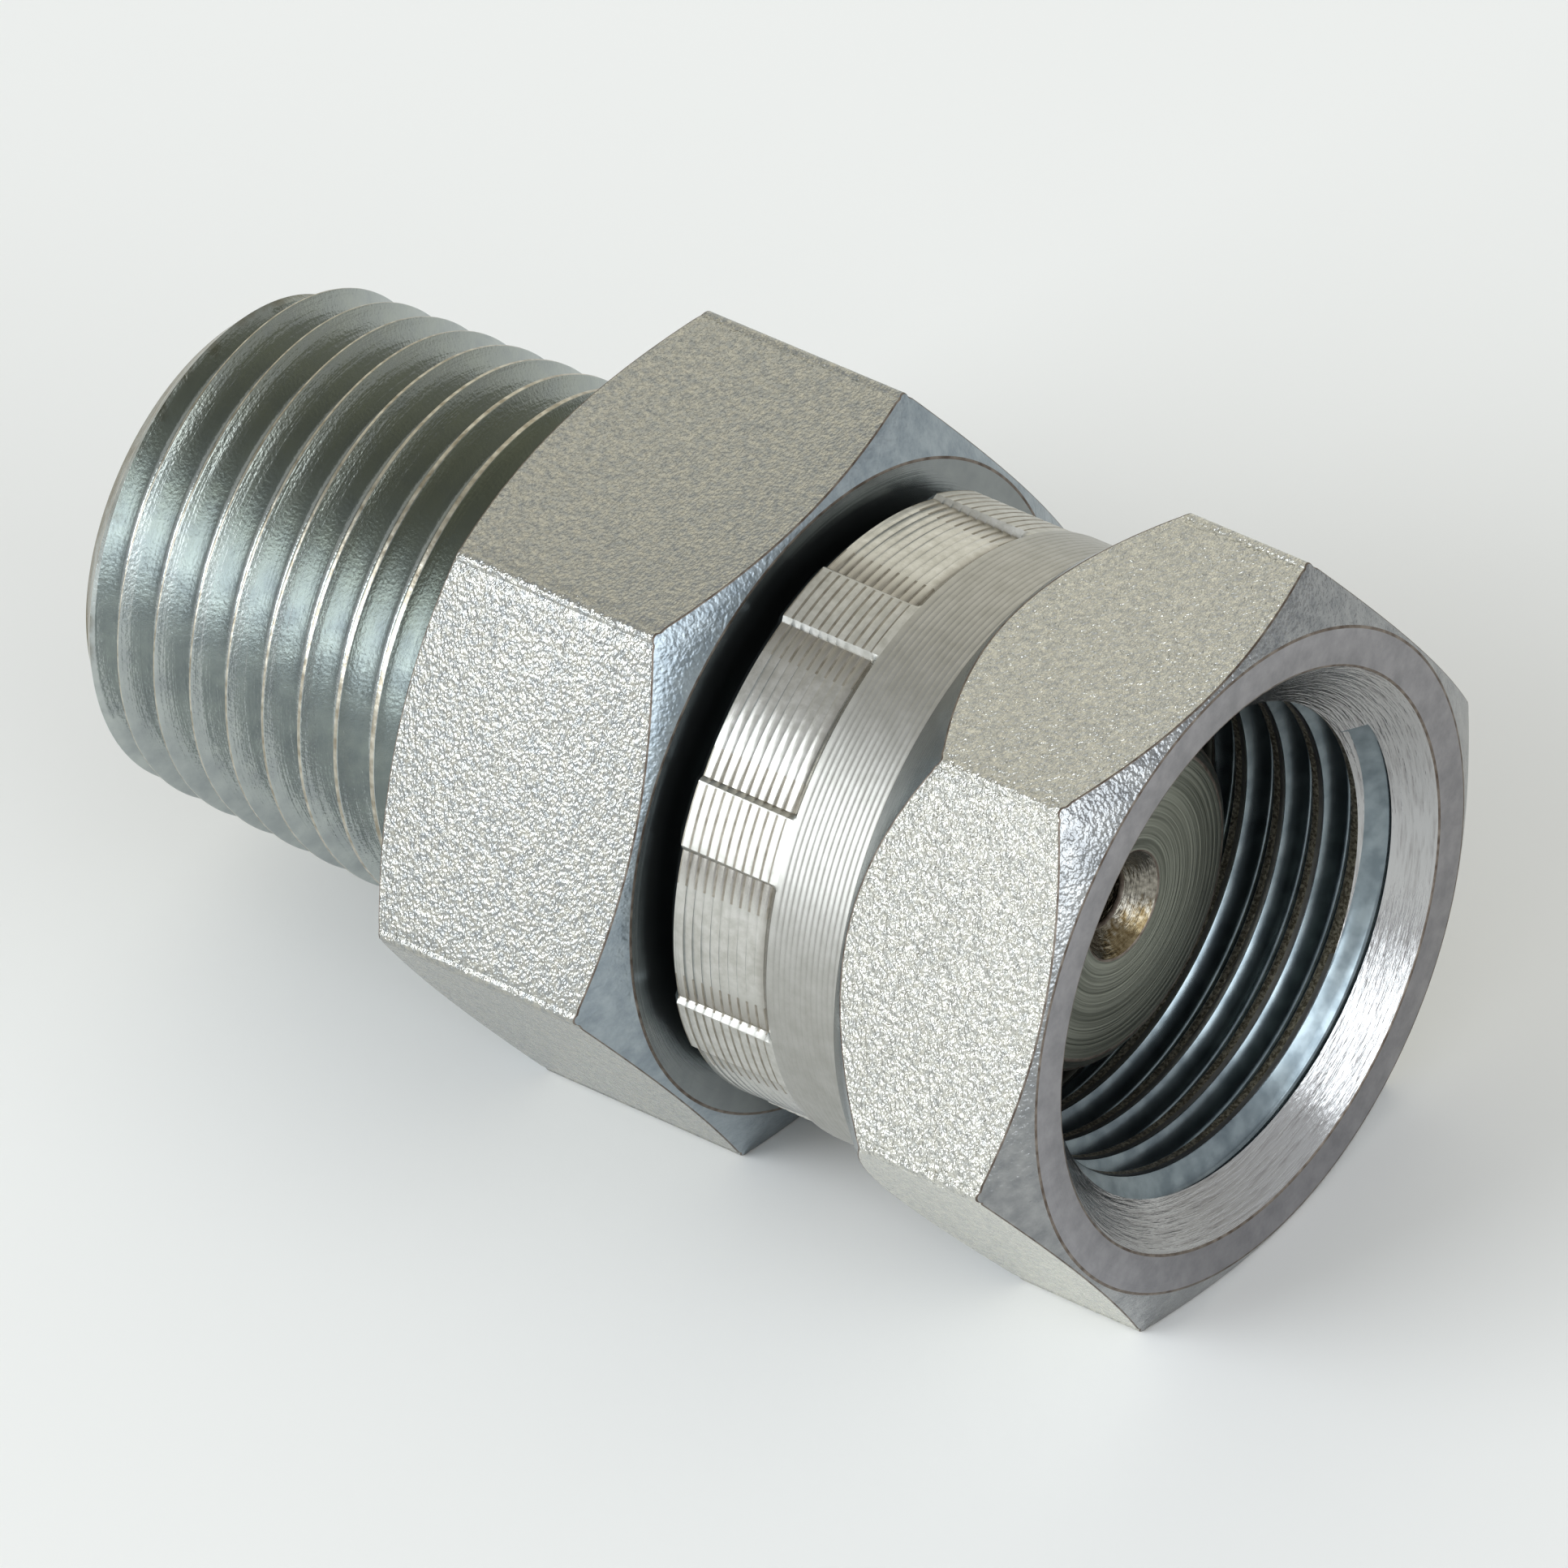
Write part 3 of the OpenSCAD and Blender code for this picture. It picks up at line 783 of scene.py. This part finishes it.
# The table top: a sheet of plain white card under the part, wide enough to fill every view. It is matt,
# and lies a hair below the lower flats.
card = bpy.data.materials.new("white_card")
card.use_nodes = True
tree = card.node_tree
shader = tree.nodes["Principled BSDF"]
connect(tree, shader, {"Base Color": linear("#F4F4F2"), "Roughness": 0.7, "Specular IOR Level": 0.2})
half_card, card_gap = 3000.0, 0.02
table_z = -across_flats / 2 - card_gap
corners = [
    (x * half_card * MM, y * half_card * MM, table_z * MM)
    for x, y in ((-1, -1), (1, -1), (1, 1), (-1, 1))
]
table_mesh = bpy.data.meshes.new("table_card")
table_mesh.from_pydata(corners, [], [(0, 1, 2, 3)])
table_mesh.materials.append(card)
table = bpy.data.objects.new("table_card", table_mesh)
bpy.context.scene.collection.objects.link(table)

# The studio's room: neutral grey walls, and a large warm window behind the part on the left. The ramp
# goes from the wall opposite the window, over the wall round it, to the window itself.
world = bpy.data.worlds.new("room_with_window")
bpy.context.scene.world = world
world.use_nodes = True
tree = world.node_tree
heading = add(tree, "ShaderNodeTexCoord", {}).outputs["Generated"]
window = (-0.62, 0.70, 0.35)
toward_window = add(tree, "ShaderNodeVectorMath", {0: heading, 1: window}, operation="DOT_PRODUCT")
ramp = add(tree, "ShaderNodeValToRGB", {"Fac": toward_window.outputs["Value"]})
room = ramp.color_ramp.elements
room[0].position, room[1].position = 0.0, 0.93
room[0].color, room[1].color = linear("#CDCFD1"), linear("#FFFDF1")
for position, colour in ((0.62, "#B3B3AF"), (0.8, "#CFCDC3")):
    room.new(position).color = linear(colour)
connect(tree, tree.nodes["Background"], {"Color": ramp, "Strength": 1.0})

# Two square soft boxes: one to the left of the camera, and one beside it on the right. Each has its
# azimuth and elevation in degrees, its distance and side in metres, and its power in watts.
for name, azimuth, elevation, distance, side, power in (
    ("soft_box_left", -127, 28, 1.5, 1.0, 14.6),
    ("soft_box_right", -8, 16, 1.8, 1.24, 16.0),
):
    lamp = bpy.data.lights.new(name, "AREA")
    lamp.shape, lamp.size, lamp.energy = "SQUARE", side, power
    lamp.color = linear("#F4FAFF")[:3]
    lamp_object = bpy.data.objects.new(name, lamp)
    a, e = math.radians(azimuth), math.radians(elevation)
    toward = Vector((math.cos(a) * math.cos(e), math.sin(a) * math.cos(e), math.sin(e)))
    lamp_object.location = toward * distance
    lamp_object.rotation_euler = toward.to_track_quat("Z", "Y").to_euler()
    bpy.context.scene.collection.objects.link(lamp_object)

# The camera: far off with a long lens, 42 degrees above the table. Its place is in millimetres, and
# the other three say which way the picture's right side, its bottom and the view itself point.
camera_place = Vector((455.42, -492.17, 620.56))
right, down, forward = (0.7891, 0.6020, -0.1222), (0.3405, -0.5943, -0.7286), (-0.5112, 0.5333, -0.6739)
camera_data = bpy.data.cameras.new("camera")
camera_data.lens, camera_data.sensor_width = 559.0, 36.0
camera_data.clip_start, camera_data.clip_end = 0.05, 50.0
camera = bpy.data.objects.new("camera", camera_data)
turned = Matrix([right, [-v for v in down], [-v for v in forward]]).transposed().to_4x4()
camera.matrix_world = Matrix.Translation(camera_place * MM) @ turned
bpy.context.scene.collection.objects.link(camera)
bpy.context.scene.camera = camera
bpy.context.scene.view_settings.view_transform = "Standard"
